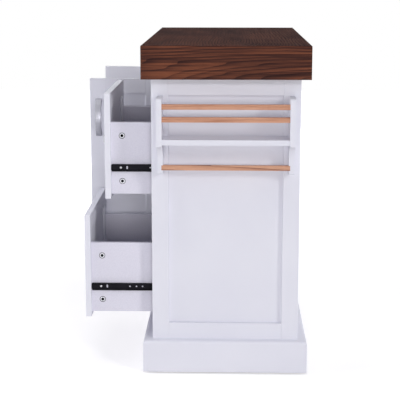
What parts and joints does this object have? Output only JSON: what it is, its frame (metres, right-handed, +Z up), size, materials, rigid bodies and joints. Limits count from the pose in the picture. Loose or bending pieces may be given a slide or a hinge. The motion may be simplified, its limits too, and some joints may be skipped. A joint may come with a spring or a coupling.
{
  "type": "kitchen island",
  "caption": "Rolling kitchen island with a thick wooden worktop, deep drawers, cupboard doors, a plinth that hides swivel casters, and a spice and towel rack on one end.",
  "frame": {"origin": "bottom centre of the box round the island as pictured, with its drawers and doors open, at floor level under the wheels", "axes": "+X along the island towards the end with the rack, -Y the side that the drawers and doors open to, +Z up"},
  "size_m": [1.0234, 0.6544, 0.9145],
  "materials": {
    "walnut": "satin dark walnut veneer",
    "batten_wood": "sawn softwood",
    "natural_wood": "clear satin",
    "white_lacquer": "white satin lacquer",
    "drawer_board": "white foil on board",
    "slide_steel": "black coated steel",
    "bright_steel": "zinc plated",
    "satin_nickel": "satin nickel",
    "cam_metal": "dull zinc casting",
    "caster_steel": "zinc plated pressed steel",
    "caster_tread": "dark grey moulded wheel",
    "catch_plastic": "white moulded plastic"
  },
  "bodies": {
    "cabinet": {"worktop_panel": "walnut", "worktop_edges": "walnut", "worktop_battens": "batten_wood", "plinth_frame": "white_lacquer", "front_rails": "white_lacquer", "drawer_divider_rail": "white_lacquer", "centre_partition": "white_lacquer", "back_panel": "white_lacquer", "cabinet_floor": "white_lacquer", "cupboard_shelf": "white_lacquer", "shelf_pins": "bright_steel", "cabinet_runners": "slide_steel", "hinge_frame_leaves": "satin_nickel", "door_catch": "catch_plastic", "rack_brackets": "white_lacquer", "spice_rails": "natural_wood", "rack_shelf": "white_lacquer", "towel_bar": "natural_wood", "rack_screws": "bright_steel", "rack_end_stiles": "white_lacquer", "rack_end_rails": "white_lacquer", "rack_end_panel": "white_lacquer", "plain_end_stiles": "white_lacquer", "plain_end_rails": "white_lacquer", "plain_end_panel": "white_lacquer", "caster_plates": "caster_steel"},
    "upper_drawer": {"upper_drawer_front": "white_lacquer", "upper_drawer_sides": "drawer_board", "upper_drawer_back": "drawer_board", "upper_drawer_bottom": "drawer_board", "upper_drawer_pull": "satin_nickel", "upper_drawer_cam_locks": "cam_metal", "upper_drawer_runners": "slide_steel"},
    "upper_cages": {"upper_ball_cages": "bright_steel"},
    "lower_drawer": {"lower_drawer_front": "white_lacquer", "lower_drawer_sides": "drawer_board", "lower_drawer_back": "drawer_board", "lower_drawer_bottom": "drawer_board", "lower_drawer_pull": "satin_nickel", "lower_drawer_cam_locks": "cam_metal", "lower_drawer_runners": "slide_steel"},
    "lower_cages": {"lower_ball_cages": "bright_steel"},
    "inner_door": {"inner_door_stiles": "white_lacquer", "inner_door_rails": "white_lacquer", "inner_door_panel": "white_lacquer", "inner_door_pull": "satin_nickel", "inner_door_hinge_leaves": "satin_nickel"},
    "outer_door": {"outer_door_stiles": "white_lacquer", "outer_door_rails": "white_lacquer", "outer_door_panel": "white_lacquer", "outer_door_pull": "satin_nickel", "outer_door_hinge_leaves": "satin_nickel"},
    "fork_front_rack": {"caster_fork_front_rack": "caster_steel"},
    "wheel_front_rack": {"caster_wheel_front_rack": "caster_tread"},
    "fork_front_plain": {"caster_fork_front_plain": "caster_steel"},
    "wheel_front_plain": {"caster_wheel_front_plain": "caster_tread"},
    "fork_back_rack": {"caster_fork_back_rack": "caster_steel"},
    "wheel_back_rack": {"caster_wheel_back_rack": "caster_tread"},
    "fork_back_plain": {"caster_fork_back_plain": "caster_steel"},
    "wheel_back_plain": {"caster_wheel_back_plain": "caster_tread"}
  },
  "joints": [
    {"name": "upper_drawer_slide", "type": "slide", "parent": "cabinet", "child": "upper_drawer", "axis": [0, -1, 0], "range_m": [-0.13, 0.12]},
    {"name": "upper_cage_slide", "type": "slide", "parent": "cabinet", "child": "upper_cages", "axis": [0, -1, 0], "range_m": [-0.065, 0.06]},
    {"name": "lower_drawer_slide", "type": "slide", "parent": "cabinet", "child": "lower_drawer", "axis": [0, -1, 0], "range_m": [-0.19, 0.06]},
    {"name": "lower_cage_slide", "type": "slide", "parent": "cabinet", "child": "lower_cages", "axis": [0, -1, 0], "range_m": [-0.095, 0.03]},
    {"name": "inner_door_hinge", "type": "hinge", "parent": "cabinet", "child": "inner_door", "pos_m": [-0.01729, -0.10762, 0.465], "axis": [0, 0, 1], "range_deg": [-90, 0]},
    {"name": "outer_door_hinge", "type": "hinge", "parent": "cabinet", "child": "outer_door", "pos_m": [-0.45729, -0.10762, 0.465], "axis": [0, 0, -1], "range_deg": [-98, 12]},
    {"name": "swivel_front_rack", "type": "hinge", "parent": "cabinet", "child": "fork_front_rack", "pos_m": [0.34671, -0.02632, 0.06], "axis": [0, 0, 1], "continuous": true},
    {"name": "roll_front_rack", "type": "hinge", "parent": "fork_front_rack", "child": "wheel_front_rack", "pos_m": [0.32271, -0.02632, 0.03], "axis": [0, 1, 0], "continuous": true},
    {"name": "swivel_front_plain", "type": "hinge", "parent": "cabinet", "child": "fork_front_plain", "pos_m": [-0.39329, -0.02632, 0.06], "axis": [0, 0, 1], "continuous": true},
    {"name": "roll_front_plain", "type": "hinge", "parent": "fork_front_plain", "child": "wheel_front_plain", "pos_m": [-0.41729, -0.02632, 0.03], "axis": [0, 1, 0], "continuous": true},
    {"name": "swivel_back_rack", "type": "hinge", "parent": "cabinet", "child": "fork_back_rack", "pos_m": [0.34671, 0.22368, 0.06], "axis": [0, 0, 1], "continuous": true},
    {"name": "roll_back_rack", "type": "hinge", "parent": "fork_back_rack", "child": "wheel_back_rack", "pos_m": [0.32271, 0.22368, 0.03], "axis": [0, 1, 0], "continuous": true},
    {"name": "swivel_back_plain", "type": "hinge", "parent": "cabinet", "child": "fork_back_plain", "pos_m": [-0.39329, 0.22368, 0.06], "axis": [0, 0, 1], "continuous": true},
    {"name": "roll_back_plain", "type": "hinge", "parent": "fork_back_plain", "child": "wheel_back_plain", "pos_m": [-0.41729, 0.22368, 0.03], "axis": [0, 1, 0], "continuous": true}
  ],
  "couplings": [
    {"joint": "upper_cage_slide", "follows": "upper_drawer_slide", "ratio": 0.5},
    {"joint": "lower_cage_slide", "follows": "lower_drawer_slide", "ratio": 0.5}
  ]
}
